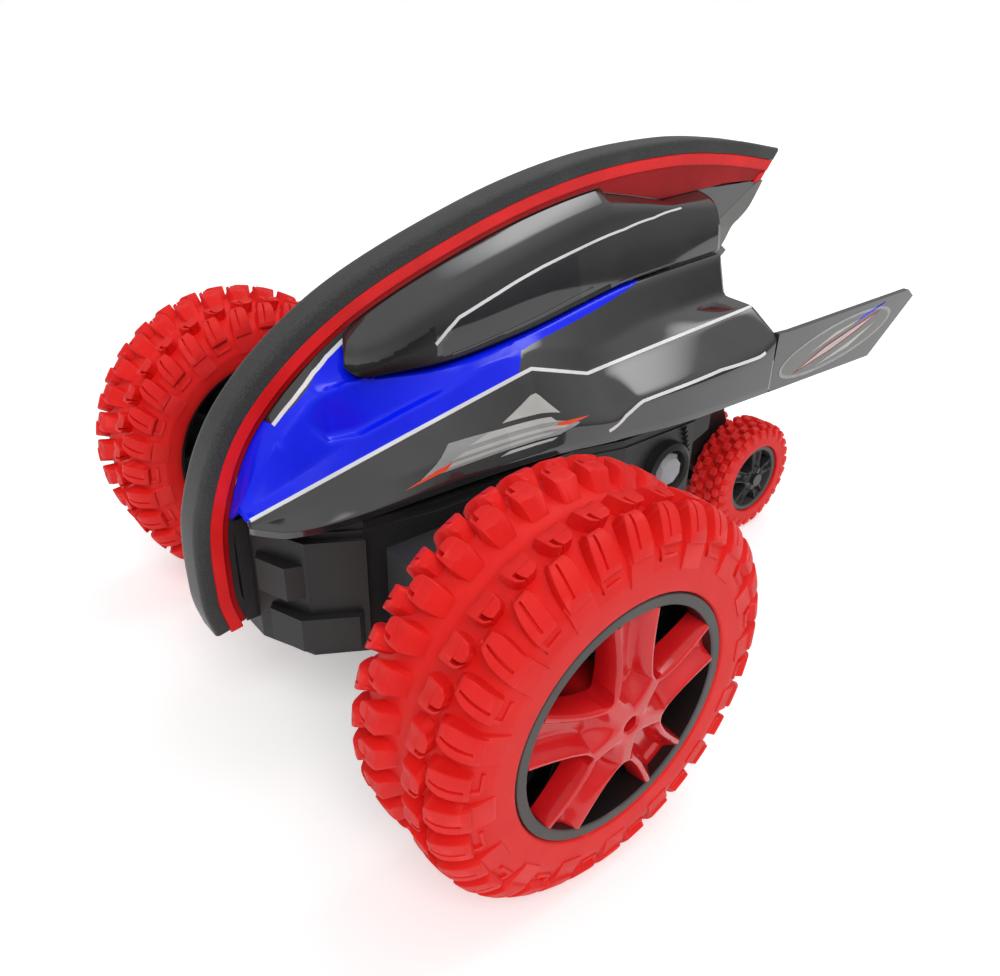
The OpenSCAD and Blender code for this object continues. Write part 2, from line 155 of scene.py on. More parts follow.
def clean(obj, angle):
    """Joins doubled points, turns the faces outwards and smooths all but sharp edges."""
    work = bmesh.new()
    work.from_mesh(obj.data)
    bmesh.ops.remove_doubles(work, verts=work.verts, dist=1e-6)
    bmesh.ops.recalc_face_normals(work, faces=work.faces)
    work.to_mesh(obj.data)
    work.free()
    obj.data.polygons.foreach_set("use_smooth", [True] * len(obj.data.polygons))
    obj.data.set_sharp_from_angle(angle=math.radians(angle))


def bevel(obj, width, segments=2, angle=30.0):
    """Rounds the sharp edges of a piece. width is in mm."""
    mod = obj.modifiers.new("edge", "BEVEL")
    mod.width = width * MM
    mod.segments = segments
    mod.limit_method = "ANGLE"
    mod.angle_limit = math.radians(angle)
    mod.harden_normals = True


def thicken(obj):
    """Gives a skin the wall of a moulded shell, on its inside."""
    mod = obj.modifiers.new("wall", "SOLIDIFY")
    mod.thickness = WALL * MM
    mod.offset = -1
    mod.use_even_offset = False


def grid_faces(rows, cols, start=0, wrap=False):
    """Quads between rows of points. With wrap, each row closes on itself."""
    out = []
    for i in range(rows - 1):
        for j in range(cols if wrap else cols - 1):
            k = (j + 1) % cols
            a = start + i * cols
            out.append((a + j, a + k, a + cols + k, a + cols + j))
    return out


class Pile:
    """Collects points and faces of one piece."""

    def __init__(self):
        self.points = []
        self.faces = []

    def loft(self, rings, wrap=True, cap=True):
        """Joins rings of points. With cap, the first and last ring are closed."""
        start = len(self.points)
        rows, cols = len(rings), len(rings[0])
        for ring in rings:
            self.points.extend([tuple(p) for p in ring])
        self.faces.extend(grid_faces(rows, cols, start, wrap))
        if cap:
            self.faces.append(tuple(start + j for j in range(cols)))
            self.faces.append(tuple(start + (rows - 1) * cols + j for j in reversed(range(cols))))
        return self

    def sheet(self, rows):
        """Joins rows of points into an open sheet."""
        return self.loft(rows, wrap=False, cap=False)


# ---- materials


class Nodes:
    """Short ways to add nodes to a node tree."""

    def __init__(self, tree):
        self.tree = tree

    def add(self, kind, values=None, **settings):
        node = self.tree.nodes.new(kind)
        for key, value in settings.items():
            setattr(node, key, value)
        self.feed(node, values or {})
        return node

    def feed(self, node, values):
        """Sets a node's inputs. Each value is a number, a colour, a vector or a socket to link."""
        for key, value in values.items():
            if isinstance(value, bpy.types.NodeSocket):
                self.tree.links.new(value, node.inputs[key])
            else:
                node.inputs[key].default_value = value

    def ramp(self, value, low, high, out_low, out_high):
        """Maps value from low..high to out_low..out_high, clamped."""
        values = {"Value": value, "From Min": low, "From Max": high, "To Min": out_low, "To Max": out_high}
        return self.add("ShaderNodeMapRange", values).outputs["Result"]


class Finish(Nodes):
    """A new material: a Principled shader, fed with procedural detail."""

    def __init__(self, name):
        self.material = bpy.data.materials.new(name)
        self.material.use_nodes = True
        super().__init__(self.material.node_tree)
        self.coords = self.add("ShaderNodeTexCoord").outputs["Object"]

    def noise(self, scale, detail=3.0, rough=0.5):
        values = {"Vector": self.coords, "Scale": scale, "Detail": detail, "Roughness": rough}
        return self.add("ShaderNodeTexNoise", values).outputs["Fac"]

    def mix(self, factor, a, b):
        """Mixes two colours; each is an RGB tuple or a socket."""
        a, b = [(*c, 1.0) if isinstance(c, tuple) else c for c in (a, b)]
        return self.add("ShaderNodeMix", {"Factor": factor, "A": a, "B": b}, data_type="RGBA").outputs["Result"]

    def edges(self, low, high):
        """1 on worn outer edges, 0 elsewhere."""
        point = self.add("ShaderNodeNewGeometry").outputs["Pointiness"]
        return self.ramp(point, low, high, 0.0, 1.0)

    def done(self, values, heights=()):
        """Feeds the shader and gives it bumps: heights is a list of (socket, distance in mm, strength)."""
        shader = self.tree.nodes["Principled BSDF"]
        self.feed(shader, values)
        normal = {}
        for socket, distance, strength in heights:
            values = {"Distance": distance * MM, "Strength": strength, "Height": socket, **normal}
            normal = {"Normal": self.add("ShaderNodeBump", values).outputs["Normal"]}
        self.feed(shader, normal)
        return self.material


def gloss(name, colour, rough=0.1, coat=0.8, shine=0.5, ior=1.5):
    """Polished moulded plastic or paint: faint orange peel, dust and fine scratches."""
    f = Finish(name)
    broad = f.noise(45, 4)
    lighter = tuple(min(1.0, c * 1.12 + 0.004) for c in colour)
    darker = tuple(c * 0.9 for c in colour)
    return f.done({
        "Base Color": f.mix(f.ramp(broad, 0.35, 0.65, 0, 1), darker, lighter),
        "Roughness": f.ramp(broad, 0.3, 0.8, rough, rough + 0.06),
        "Coat Weight": coat, "Coat Roughness": 0.04, "Specular IOR Level": shine, "IOR": ior,
    }, [(f.noise(260, 2), 0.02, 0.12), (f.noise(1400, 2), 0.004, 0.2)])


def moulded(name, colour, rough=0.5, grain=0.5, worn=0.05):
    """Matt moulded plastic with a fine spark-eroded grain and rubbed edges."""
    f = Finish(name)
    fine = f.noise(3200, 2)
    lighter = tuple(c * 1.25 + 0.004 for c in colour)
    tone = f.mix(f.ramp(f.noise(60, 4), 0.35, 0.7, 0, 1), colour, lighter)
    rubbed = tuple(c + worn for c in colour)
    return f.done({
        "Base Color": f.mix(f.edges(0.52, 0.6), tone, rubbed),
        "Roughness": f.ramp(fine, 0.3, 0.7, rough - 0.06, rough + 0.1),
    }, [(fine, 0.03, grain)])


def soft_rubber(name, colour, deep):
    """Matt moulded soft plastic, a little translucent, paler on rubbed edges."""
    f = Finish(name)
    fine = f.noise(2600, 3)
    tone = f.mix(f.ramp(f.noise(90, 4), 0.35, 0.7, 0, 1), deep, colour)
    rubbed = tuple(min(1.0, c * 1.05 + 0.02) for c in colour)
    return f.done({
        "Base Color": f.mix(f.edges(0.53, 0.66), tone, rubbed),
        "Roughness": f.ramp(fine, 0.3, 0.7, 0.42, 0.56), "Specular IOR Level": 0.3,
        "Subsurface Weight": 0.12, "Subsurface Radius": (0.003, 0.0008, 0.0006), "Subsurface Scale": 1.0,
    }, [(fine, 0.025, 0.35), (f.noise(300, 2), 0.05, 0.12)])


def foam_skin(name):
    """Closed-cell foam: small pores, a pale bloom and cut faces."""
    f = Finish(name)
    cells = f.add("ShaderNodeTexVoronoi", {"Scale": 1500, "Vector": f.coords}).outputs["Distance"]
    speck = f.noise(2200, 3)
    tone = f.mix(f.ramp(speck, 0.35, 0.7, 0, 1), (0.022, 0.023, 0.023), (0.056, 0.058, 0.057))
    tone = f.mix(f.ramp(f.noise(35, 5, 0.6), 0.5, 0.75, 0, 0.5), tone, (0.085, 0.087, 0.086))
    return f.done({"Base Color": tone, "Roughness": 0.62, "Sheen Weight": 0.25, "Sheen Roughness": 0.4},
                  [(cells, 0.12, 0.35), (speck, 0.05, 0.5)])


def metal(name, colour, rough=0.25):
    f = Finish(name)
    streaks = f.noise(1800, 4)
    return f.done({
        "Metallic": 1.0, "Base Color": f.mix(streaks, tuple(c * 0.8 for c in colour), colour),
        "Roughness": f.ramp(streaks, 0.3, 0.7, rough, rough + 0.15),
    }, [(streaks, 0.01, 0.2)])


def clear_plastic(name):
    f = Finish(name)
    haze = f.noise(500, 3)
    return f.done({
        "Base Color": (0.5, 0.51, 0.54, 1), "Transmission Weight": 0.45, "IOR": 1.5,
        "Roughness": f.ramp(haze, 0.3, 0.7, 0.05, 0.16),
    }, [(haze, 0.02, 0.3)])


M_TYRE = soft_rubber("red_tyre", (0.84, 0.02, 0.016), (0.78, 0.014, 0.012))
M_RED = gloss("red_gloss", (0.86, 0.012, 0.014), rough=0.42, coat=0.0, shine=0.36)
M_RED_DEEP = gloss("red_deep", (0.38, 0.004, 0.006), rough=0.2, coat=0.0, shine=0.16)
M_SPOKE = gloss("red_spoke", (0.66, 0.008, 0.011), rough=0.17, coat=0.5)
M_BLACK = gloss("black_gloss", (0.022, 0.022, 0.023), rough=0.08, coat=1.0, ior=1.66)
M_BLUE = gloss("blue_paint", (0.0, 0.012, 0.95), rough=0.14, coat=0.15, shine=0.4)
M_WHITE = gloss("white_line", (0.78, 0.79, 0.8), rough=0.22, coat=0.3)
M_SILVER = gloss("silver_line", (0.32, 0.33, 0.33), rough=0.25, coat=0.4)
M_ORANGE = gloss("orange_line", (0.85, 0.07, 0.015), rough=0.22, coat=0.3)
M_GREYBACK = moulded("grey_back", (0.17, 0.17, 0.165), rough=0.35)
M_MATT = moulded("matt_black", (0.009, 0.009, 0.0095), rough=0.42, worn=0.012)
M_RIM = moulded("rim_grey", (0.058, 0.058, 0.055), rough=0.45, grain=0.3)
M_DISH = moulded("rim_black", (0.006, 0.006, 0.006), rough=0.4, grain=0.3, worn=0.01)
M_FOAM = foam_skin("black_foam")
M_STEEL = metal("steel", (0.62, 0.62, 0.6))
M_BRONZE = metal("bronze", (0.6, 0.4, 0.18), 0.35)
M_LENS = clear_plastic("clear_lens")
M_NYLON = moulded("nylon", (0.62, 0.6, 0.54), rough=0.45, grain=0.2)
M_BOARD = gloss("board_green", (0.01, 0.09, 0.03), rough=0.3, coat=0.3)
M_WRAP = gloss("battery_wrap", (0.02, 0.22, 0.06), rough=0.25, coat=0.4)
M_BAND = moulded("band_black", (0.006, 0.006, 0.006), rough=0.3, grain=0.15, worn=0.004)
M_RIM_GLOSS = gloss("rim_gloss", (0.02, 0.021, 0.021), rough=0.25, coat=0.4)
M_MIRROR = metal("mirror", (0.85, 0.86, 0.88), 0.12)
M_DECAL = gloss("pale_print", (0.5, 0.5, 0.48), rough=0.25, coat=0.4)
M_WINDOW = gloss("smoked_window", (0.016, 0.017, 0.02), rough=0.05, coat=1.0)
M_SILVERGREY = gloss("silver_grey", (0.2, 0.2, 0.195), rough=0.3, coat=0.3)


def both(name):
    return ["left_" + name, "right_" + name]


for nodes, material in (
        (["chassis_tub", "chassis_deck", "front_bumper", "tail_strut", "battery_cover"], M_MATT),
        (both("wing"), M_BLACK),
        (both("lamp_bezel") + both("gearbox") + both("gearbox_cover"), M_MATT),
        (both("motor") + both("axle") + both("idler_pin") + both("hub_screw"), M_STEEL),
        (["body_screws", "deck_screws", "power_switch"], M_STEEL),
        (["tail_axle"], M_RIM_GLOSS),
        (both("bush") + both("pinion"), M_BRONZE),
        (both("idler_gear") + both("wheel_gear") + ["switch_knob"], M_NYLON),
        (["circuit_board"], M_BOARD),
        (["battery_pack"], M_WRAP)):
    for node in nodes:
        NODES[node].data.materials.clear()
        NODES[node].data.materials.append(material)

# ---- tyres

TREAD_N = 32
TAIL_TREAD = 26
CARCASS_DROP = 4.6
TAIL_DROP = 1.9
BEAD_R = 37.4
TAIL_BEAD_R = 16.4
SMALL = 0.41  # size of the tail tyre's tread shapes against the big tyre's
LEAN = 1.6  # how far the sidewall marks sit round the tyre from their block, in mm


def wheel_point(radius, angle, x, y0=0.0, z0=WHEEL_R):
    """A point of a wheel on the +X side. The angle runs from +Z towards the front."""
    return (x, y0 - radius * math.sin(angle), z0 + radius * math.cos(angle))


def wheel_rings(corners, steps, y0=0.0, z0=WHEEL_R):
    """A circle of points about an axle for each (radius, x) corner."""
    return [[wheel_point(r, 2 * math.pi * i / steps, x, y0, z0) for i in range(steps)] for r, x in corners]


def revolve(pile, outline, steps, y0=0.0, z0=WHEEL_R):
    """Turns an outline of (x, radius) points about an axle."""
    rows = []
    for i in range(steps):
        a = 2 * math.pi * i / steps
        rows.append([wheel_point(r, a, x, y0, z0) for x, r in outline])
    pile.sheet(rows + rows[:1])


def crown(half, radius, drop, k):
    """The carcass from the middle of the tread to its shoulder, as (x from the middle, radius)."""
    return [(0.0, radius - drop - 1.6 * k), (4.5 * k, radius - drop - 0.4 * k), (half - 13 * k, radius - drop),
            (half - 7 * k, radius - drop - 1.2 * k), (half - 2.6 * k, radius - 8.6 * k),
            (half - 0.9 * k, radius - 13 * k)]


def tyre_section(half, radius, bead, drop):
    """The carcass from inner bead to outer bead, as (x from the middle, radius)."""
    k = half / 22.9
    outer = crown(half, radius, drop, k)
    inside = [(-half + 6 * k, bead), (-half + 1.4 * k, bead + 1.5 * k), (-half + 0.4 * k, bead + 7 * k)]
    outside = [(half - 0.4 * k, bead + 7 * k), (half - 0.5 * k, bead + 1.6 * k), (half - 0.9 * k, bead + 0.5 * k),
               (half - 2.2 * k, bead), (half - 5 * k, bead + 0.2 * k)]
    return inside + [(-x, r) for x, r in outer[:0:-1]] + outer + outside


class Envelope:
    """Floor and top of the tread across one half of a tyre, by distance along it."""

    def __init__(self, half, radius, drop, k):
        self.radius = radius
        self.floor = spline(crown(half, radius, drop, k) + [(half - 0.5 * k, radius - 17 * k)], 8)
        self.top = spline(
            [(0, radius), (4.5 * k, radius), (half - 11 * k, radius - 0.1 * k),
             (half - 5 * k, radius - 1.4 * k), (half - 0.9 * k, radius - 7 * k),
             (half - 0.05 * k, radius - 12.5 * k), (half, radius - 17 * k)], 8)
        self.t = np.linspace(0, 1, len(self.floor))

    def at(self, t, height):
        """(x, radius) at share t across, at height 0 (floor) to 1 (top)."""
        f = [np.interp(t, self.t, self.floor[:, i]) for i in (0, 1)]
        g = [np.interp(t, self.t, self.top[:, i]) for i in (0, 1)]
        return tuple(f[i] + (g[i] - f[i]) * height for i in (0, 1))


def add_block(pile, env, place, angle, stations):
    """A tread block. Each station is a share across the tyre and an outline of
    (distance round the tyre in mm, height) points."""
    rings = []
    for t, outline in stations:
        ring = []
        for offset, height in outline:
            x, r = env.at(t, height)
            ring.append(place(x, r, angle + offset / env.radius))
        rings.append(ring)
    pile.loft(rings)


def station(t, width, outline, shift=0.0):
    """A block's outline at share t across the tyre, from (share of its width, height) points."""
    return t, [(s * width + shift, height) for s, height in outline]


def shoulder_block(width, end_t):
    """Stations of a shoulder block: drafted sides, a thin L-shaped cut and a squared outer end."""
    rows = [
        (0.362, -0.2, 0.42, 0.0), (0.376, 0.7, 0.48, 0.0), (0.404, 0.84, 0.62, 0.0), (0.41, 0.98, 0.64, 0.0),
        (0.43, 1.0, 0.74, 0.0), (0.434, 1.0, 0.76, 0.26), (0.47, 1.0, 0.88, 0.26), (0.51, 1.0, 0.98, 0.26),
        (0.56, 1.0, 1.03, 0.26), (0.6, 1.0, 1.05, 0.26), (0.64, 1.0, 1.06, 0.24), (0.644, 1.0, 1.06, 0.0),
        (end_t - 0.012, 1.0, 1.06, 0.0), (end_t, 0.95, 1.04, 0.0), (end_t + 0.012, 0.0, 1.1, 0.0),
        (end_t + 0.014, -0.3, 1.1, 0.0)]
    stations = []
    for t, h, share, cut in rows:
        lean = 2.2 * smooth_step(0.36, 0.7, t) - 0.6
        left = h if t > 0.4 else h * 0.7
        outline = [(-0.62, -0.3), (-0.5, left - 0.06), (-0.46, left), (0.06, left), (0.09, left - cut),
                   (0.15, left - cut), (0.18, h), (0.46, h), (0.5, h - 0.06), (0.62, -0.3)]
        stations.append(station(t, width * share, outline, lean))
    return stations


def ledge(width, t0, t1):
    """Stations of the low squared foot of a long block, running down the sidewall."""
    rows = ((t0 - 0.05, 0.5, 0.98), (t0 + 0.03, 0.62, 1.02), (t1 - 0.03, 0.86, 1.12), (t1, 0.84, 1.14),
            (t1 + 0.004, -0.4, 1.16))
    return [station(t, width * share, [(-0.54, -0.4), (-0.5, h), (0.5, h), (0.54, -0.4)], LEAN)
            for t, h, share in rows]


def hook_bar(width, low, high, start, end):
    """Stations of one bar of the raised L on the sidewall below a short block."""
    return [station(t, width, [(low, -0.4), (low, h), (high, h), (high, -0.4)], LEAN)
            for t, h in ((start, 0.3), ((start + end) / 2, 0.42), (end, 0.42), (end + 0.004, -0.4))]


def knob():
    """Stations of an inner knob: a ramp up from the valley, a notched top and a pointed outer end."""
    stations = []
    for t, h, w in ((0.09, -0.12, 6.0), (0.12, 0.1, 6.2), (0.2, 0.9, 7.2), (0.215, 0.96, 7.3), (0.25, 1.0, 7.3),
                    (0.284, 1.0, 7.1), (0.29, 1.0, 7.0), (0.325, 1.0, 6.6), (0.345, 1.0, 5.4),
                    (0.362, 0.97, 3.6), (0.372, -0.3, 3.2)):
        notch = 0.62 if 0.285 < t < 0.37 else 0.0
        dip = 0.12 if 0.18 < t < 0.29 else 0.0
        outline = [(-0.6, -0.3), (-0.5, h - 0.06), (-0.45, h), (-0.02, h - dip), (0.2, h), (0.24, h - notch),
                   (0.33, h - notch), (0.37, h), (0.48, h - 0.04), (0.6, -0.3)]
        stations.append(station(t, w, outline))
    return stations


def small_block(width, t0, t1):
    """Stations of a rounded tread block on a tail tyre, between two shares across it."""
    rows = ((t0 - 0.012, -0.3, 1.0), (t0, 0.6, 0.84), (t0 + 0.03, 1.0, 0.92), ((t0 + t1) / 2, 1.0, 1.0),
            (t1 - 0.03, 1.0, 0.92), (t1, 0.6, 0.84), (t1 + 0.012, -0.3, 1.0))
    return [station(t, width * share / 2, [(-1, -0.3), (-0.9, h * 0.75), (-0.6, h), (0.6, h), (0.9, h * 0.75),
                                           (1, -0.3)]) for t, h, share in rows]


def add_tread(pile, env, x0, y0, z0, count, pattern):
    """Blocks round both halves of a tyre. pattern(i) gives (share of a pitch, stations) of pitch i."""
    pitch = 2 * math.pi / count
    for half, shift in ((1, 0.0), (-1, 0.5)):
        def place(x, r, a, half=half):
            return wheel_point(r, a, x0 + half * x, y0, z0)
        for i in range(count):
            for share, stations in pattern(i):
                add_block(pile, env, place, (i + shift) * pitch + share * pitch, stations)


def build_big_tyre(prefix):
    """A big tyre: hollow carcass, two rows of shoulder blocks and two rows of knobs."""
    pile = Pile()
    section = spline(tyre_section(WHEEL_HALF, WHEEL_R, BEAD_R, CARCASS_DROP), 4)
    revolve(pile, [(WHEEL_X + x, r) for x, r in section], 160)
    long = [(0, shoulder_block(7.2, 0.715)), (0, ledge(8.8, 0.7, 0.93)), (0.5, knob())]
    short = [(0, shoulder_block(6.9, 0.685)), (0, hook_bar(8.0, 0.3, 0.44, 0.68, 0.8)),
             (0, hook_bar(8.0, -0.44, 0.44, 0.765, 0.8)), (0.5, knob())]
    env = Envelope(WHEEL_HALF, WHEEL_R, CARCASS_DROP, 1.0)
    add_tread(pile, env, WHEEL_X, 0.0, WHEEL_R, TREAD_N, lambda i: short if i % 2 else long)
    obj = add_mesh(prefix + "_tyre_skin", pile, M_TYRE, prefix + "_wheel", angle=32)
    bevel(obj, 0.35, 2, 32)
    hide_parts(prefix + "_tyre")


for side in SIDES:
    build_big_tyre(side)

# ---- side outlines of the body

FIN_KNOTS = [(-64, 45), (-66.5, 60), (-64, 90), (-48.5, 120), (-14, 146), (38, 165), (85, 175),
             (130, 177.6), (165, 175), (197, 169.5)]
RAIL_TAIL = [(98, 163.4), (113, 160.6), (128, 157.6), (165, 159.3), (188, 158.2)]
FOAM_DEPTH = 4.8
RAIL_DEPTH = 6.0
FIN = spline(FIN_KNOTS, 16)
SIDE_X = 5.3  # where the shell and canopy halves meet the fin
WEDGE_END = -4.6  # the shell runs up to the fin only ahead of this
LINE_STEP = 1.5
PATCH_CELLS = 6
PRINT_ROOT = 0.25  # how deep printed lines and plates are rooted in the surface


def moved(curve, d):
    """The curve moved to its right-hand side by d."""
    step = np.gradient(curve, axis=0)
    normal = np.stack([step[:, 1], -step[:, 0]], 1)
    return curve + d * normal / np.linalg.norm(normal, axis=1)[:, None]


def crest_height():
    """Height of the rail's underside over y."""
    under = moved(FIN, FOAM_DEPTH + RAIL_DEPTH)
    front = [tuple(p) for p in under if p[0] < 97 and p[1] > 64]
    points = [front[0]]
    for p in front[1:]:
        if p[0] > points[-1][0] + 0.01:
            points.append(p)
    return straight_curve(points + RAIL_TAIL)


crest_z = crest_height()

SKIRT_X = smooth_curve([(-54, 20.5), (-45, 30), (-30, 34), (13, 38), (49, 41), (74, 45.5), (110, 50), (150, 51)])
SKIRT_Z = smooth_curve([(-54, 87), (-30, 87.6), (0, 89), (30, 90), (150, 90)])
CREASE_X = straight_curve([(-54, 19.5), (46, 28.4), (70, 30.4), (150, 37)])
CREASE_Z = straight_curve([(-54, 91), (0, 105.5), (46, 117.8), (70, 110.8), (150, 121)])
FLANK_X = smooth_curve([(-54, 20.2), (0, 33), (46, 38), (70, 45), (110, 49.6), (150, 50.6)])
FLANK_Z = smooth_curve([(-54, 89.8), (0, 98), (46, 100), (70, 98), (82, 103), (140, 107), (150, 112)])
BASE_X = smooth_curve([(-54, 12), (-12, 13), (17, 17), (48, 19), (105, 20), (150, 19.4)])
BASE_Z = smooth_curve([(-54, 91.5), (-40, 108), (-24, 120), (-12, 122.4), (17, 121), (48, 124.5), (105, 134.4),
                       (150, 137)])
SHELF_X = smooth_curve([(-54, 16), (46, 24), (80, 26.5), (105, 26), (150, 24)])
SHELF_Z = smooth_curve([(-54, 91.3), (0, 113), (46, 121.6), (80, 118), (105, 121.5), (150, 121.8)])
CAP_BASE_X = smooth_curve([(-9, 12.5), (-6, 14.6), (-2, 15.6), (17, 17), (48, 19), (105, 19.5), (150, 18.6)])
CAP_BASE_Z = smooth_curve([(-9, 126), (-6, 124), (-2, 122.8), (17, 122), (48, 125.5), (105, 135.4), (150, 138)])
CAP_EDGE_X = smooth_curve([(-9, 10.2), (-6, 12.8), (3, 15), (23, 15.5), (53, 15), (111, 13), (150, 15.5)])
CAP_EDGE_Z = smooth_curve([(-9, 129), (-6, 129), (3, 131), (23, 138), (53, 147), (111, 155), (150, 152)])


def blended(rows, v, soften):
    """The point at v on the broken line through rows, with its corners rounded."""
    n = len(rows) - 1
    total = np.zeros(2)
    for k in (-1.0, -0.5, 0.0, 0.5, 1.0):
        u = min(max(v + k * min(soften, v, n - v), 0.0), n)
        i = min(int(u), n - 1)
        total += rows[i] + (rows[i + 1] - rows[i]) * (u - i)
    return total / 5


@lru_cache(maxsize=None)
def shell_rows(y):
    """The guide points (x, z) of the half shell at y, from the fin to the skirt."""
    low = SKIRT_Z(y)
    top = crest_z(y) - 0.3 if y < WEDGE_END else BASE_Z(y) + 0.6
    return [np.array(p) for p in (
        (SIDE_X, top), (BASE_X(y), BASE_Z(y)), (SHELF_X(y), SHELF_Z(y)), (CREASE_X(y), CREASE_Z(y)),
        (FLANK_X(y), FLANK_Z(y)), (SKIRT_X(y), low + 2.4), (SKIRT_X(y) - 0.3, low))]


# Outer edge of the dent round the canopy's nose, on the shell
DENT_EDGE = straight_curve([(-30, 112), (-24, 106.5), (-14, 106.8), (0, 110.6), (16, 114.5), (34, 120.0)])


def dent(y, z):
    """How far the shell sinks in the dent round the canopy's nose, in mm."""
    inside = z - DENT_EDGE(y)
    if not -30 <= y <= 34 or inside <= 0:
        return 0.0
    depth = 3.2 * smooth_step(-30, -22, y) * (1 - smooth_step(8, 34, y))
    rise = max(0.0, 1 - inside / 15.0)
    return depth * smooth_step(0, 3.4, inside) * rise


def shell_at(y, v):
    """A point of the half shell, with the nose dent and the pocket ahead of it."""
    x, z = blended(shell_rows(y), v, 0.1)
    sink = dent(y, z)
    if v < 1 and y < WEDGE_END:
        z -= 4.2 * smooth_step(-27, -15, y) * math.sin(math.pi * v)
    return np.array((x - 0.75 * sink, y, z - 0.65 * sink))


@lru_cache(maxsize=None)
def cap_rows(y):
    """The guide points (x, z) of the canopy at y, from the fin to its base."""
    top = crest_z(y) - 0.3
    edge = np.array((CAP_EDGE_X(y), CAP_EDGE_Z(y)))
    first = np.array((SIDE_X, top))
    base = np.array((CAP_BASE_X(y), CAP_BASE_Z(y) + 0.3))
    return [first, (2 * first + edge) / 3 + (0.9, 0.9), (first + 2 * edge) / 3 + (1.5, 1.2), edge,
            (2 * edge + base) / 3 + (0.8, 0.0), (edge + 2 * base) / 3 + (0.8, 0.0), base]


def cap_at(y, v):
    """A point of the canopy, whose nose leans forward."""
    x, z = blended(cap_rows(y), v, 0.55)
    reach = 6.2 * (1 - smooth_step(-9, 10, y))
    return np.array((x, y - reach * min(1.0, max(0.0, (138 - z) / 14)), z))


def find_v(surface, y, z, v0, v1):
    """The v between v0 and v1 where the surface at y comes to height z."""
    sign = 1 if surface(y, v1)[2] > surface(y, v0)[2] else -1
    for _ in range(30):
        mid = (v0 + v1) / 2
        if (surface(y, mid)[2] - z) * sign > 0:
            v1 = mid
        else:
            v0 = mid
    return (v0 + v1) / 2


def surface_normal(surface, y, v):
    """Outward direction of a surface at (y, v)."""
    a = surface(y + 0.4, v) - surface(y - 0.4, v)
    b = surface(y, v + 0.03) - surface(y, max(v - 0.03, 0.0))
    n = np.cross(b, a)
    n /= np.linalg.norm(n)
    return n if n[0] + n[2] > 0 else -n


def ribbon(surface, path, width, top=0.16):
    """Rings of a thin raised line along path, a list of (y, v) on a surface."""
    places = []
    for (y0, v0), (y1, v1) in zip(path, path[1:]):
        n = max(1, int(abs(y1 - y0) / LINE_STEP))
        places += [(y0 + (y1 - y0) * k / n, v0 + (v1 - v0) * k / n) for k in range(n)]
    places.append(path[-1])
    centres = [surface(*p) for p in places]
    rings = []
    for i, p in enumerate(places):
        along = centres[min(i + 1, len(centres) - 1)] - centres[max(i - 1, 0)]
        along /= np.linalg.norm(along)
        n = surface_normal(surface, *p)
        across = np.cross(n, along)
        across /= np.linalg.norm(across)
        half = width(i / (len(places) - 1)) / 2 if callable(width) else width / 2
        c = centres[i]
        rings.append([c - across * half - n * PRINT_ROOT, c - across * half + n * top,
                      c + across * half + n * top, c + across * half - n * PRINT_ROOT])
    return rings


def patch(pile, surface, corners, top):
    """A thin four-cornered plate on a surface; corners are (y, v)."""
    a, b, c, d = [np.array(q, float) for q in corners]
    n = PATCH_CELLS
    start, under = len(pile.points), (n + 1) ** 2
    for height in (top, -PRINT_ROOT):
        for i in range(n + 1):
            for j in range(n + 1):
                s, t = i / n, j / n
                y, v = (a * (1 - s) + b * s) * (1 - t) + (d * (1 - s) + c * s) * t
                pile.points.append(tuple(surface(y, v) + surface_normal(surface, y, v) * height))
    faces = grid_faces(n + 1, n + 1, start)
    pile.faces.extend(faces)
    pile.faces.extend([tuple(reversed([k + under for k in f])) for f in faces])
    grid = np.arange(under).reshape(n + 1, n + 1)
    rim = [int(k) for side in (grid[:, 0], grid[n, 1:], grid[n - 1::-1, n], grid[0, n - 1:0:-1]) for k in side]
    for p, q in zip(rim, rim[1:] + rim[:1]):
        pile.faces.append((start + p, start + q, start + under + q, start + under + p))


# ---- half shells

BLUE_TIP = 104.6
SHELL_CELLS = (10, 44, 46)  # across the shell: black above the blue field, the field, black below it


def blue_top(y):
    """Upper edge of the blue field, as v over y."""
    if y < -38:
        return 0.0
    if y < WEDGE_END:
        return find_v(shell_at, y, 113 + 19 * (y + 38) / 26, 0.0, 1.0)
    return 0.3


def blue_low(y):
    """Lower edge of the blue field, as v over y."""
    if y < 41:
        return 3.0
    if y < 46:
        return 3.0 - (y - 41) / 5
    share = (y - 46) / (BLUE_TIP - 46)
    line = 122.0 + (BASE_Z(BLUE_TIP) - 122.0) * share - 1.2 * math.sin(math.pi * share)
    return find_v(shell_at, y, line, 0.95, 2.0)


def shell_stations():
    """Values of y from nose to tail, closest at the nose dent and the blue field's corners."""
    ys = [-4.7, -4.5, 40, 41, 42.5, 44, 46, 47.5, 101.5, 103, BLUE_TIP, 149, 150]
    for start, step, count in ((-54, 1.5, 16), (-30, 0.75, 27), (-9.75, 0.75, 47), (26, 1.6, 9), (49, 1.5, 35),
                               (106, 2, 22)):
        ys += [start + step * i for i in range(count)]
    return sorted(set(round(y, 3) for y in ys))


